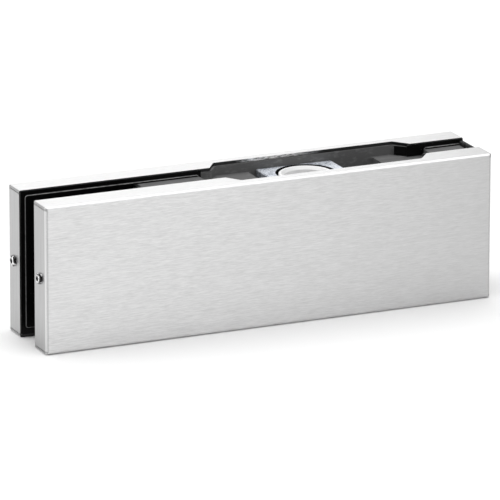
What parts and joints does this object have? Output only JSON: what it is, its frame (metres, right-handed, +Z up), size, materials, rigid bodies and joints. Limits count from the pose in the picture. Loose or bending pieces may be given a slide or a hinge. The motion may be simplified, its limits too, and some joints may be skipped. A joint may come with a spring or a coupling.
{
  "type": "glass door patch fitting",
  "caption": "Corner patch fitting that clamps the edge of an all-glass pivot door between two brushed covers and takes the pivot pin in an adjustable block.",
  "frame": {"origin": "bottom centre of the whole fitting: middle of its length and thickness, at the lower edge of the covers", "axes": "+X along the fitting towards the pivot end, -Y towards the front cover, +Z up along the pivot axis, out of the pivot's mouth"},
  "size_m": [0.1662, 0.0324, 0.051],
  "materials": {
    "brushed_stainless": "brushed along the fitting",
    "dark_casting": "matte",
    "grey_casting": "matte",
    "black_rubber": "satin",
    "dark_polymer": "matte",
    "zinc_plated_steel": "zinc plated",
    "plated_steel": "zinc plated",
    "bright_screw": "polished",
    "white_acetal": "smooth",
    "bronze": "turned"
  },
  "bodies": {
    "rear_half": {"rear_cover": "brushed_stainless", "rear_clamp_plate": "dark_casting", "rear_gasket_main": "black_rubber", "rear_gasket_strip": "black_rubber", "core_body": "grey_casting", "glass_edge_liner": "black_rubber", "end_spacer": "dark_polymer", "end_spacer_screw": "plated_steel", "core_screws": "plated_steel", "locating_dowels": "plated_steel", "clamp_nuts": "plated_steel", "rear_cover_screws": "bright_screw"},
    "front_half": {"front_cover": "brushed_stainless", "front_clamp_plate": "dark_casting", "front_gasket_main": "black_rubber", "front_gasket_strip": "black_rubber", "clamp_screws": "plated_steel", "clamp_washers": "plated_steel", "front_cover_screws": "bright_screw"},
    "pivot_carriage": {"pivot_block": "zinc_plated_steel", "dust_seal": "black_rubber", "thrust_washer": "bronze"},
    "turning_bush": {"pivot_bush": "white_acetal"},
    "adjuster": {"adjuster_screw": "plated_steel"}
  },
  "joints": [
    {"name": "clamp_open", "type": "slide", "parent": "rear_half", "child": "front_half", "axis": [0, -1, 0], "range_m": [0, 0.002]},
    {"name": "block_adjust", "type": "slide", "parent": "rear_half", "child": "pivot_carriage", "axis": [1, 0, 0], "range_m": [-0.002, 0.008]},
    {"name": "pivot_turn", "type": "hinge", "parent": "pivot_carriage", "child": "turning_bush", "pos_m": [0.02, 0, 0.0407], "axis": [0, 0, 1], "continuous": true},
    {"name": "adjuster_turn", "type": "hinge", "parent": "pivot_carriage", "child": "adjuster", "pos_m": [0.05, 0, 0.0294], "axis": [1, 0, 0], "range_deg": [-720.5, 2880.5]}
  ],
  "couplings": [
    {"joint": "adjuster_turn", "follows": "block_adjust", "rad_per_m": 6283.2}
  ]
}
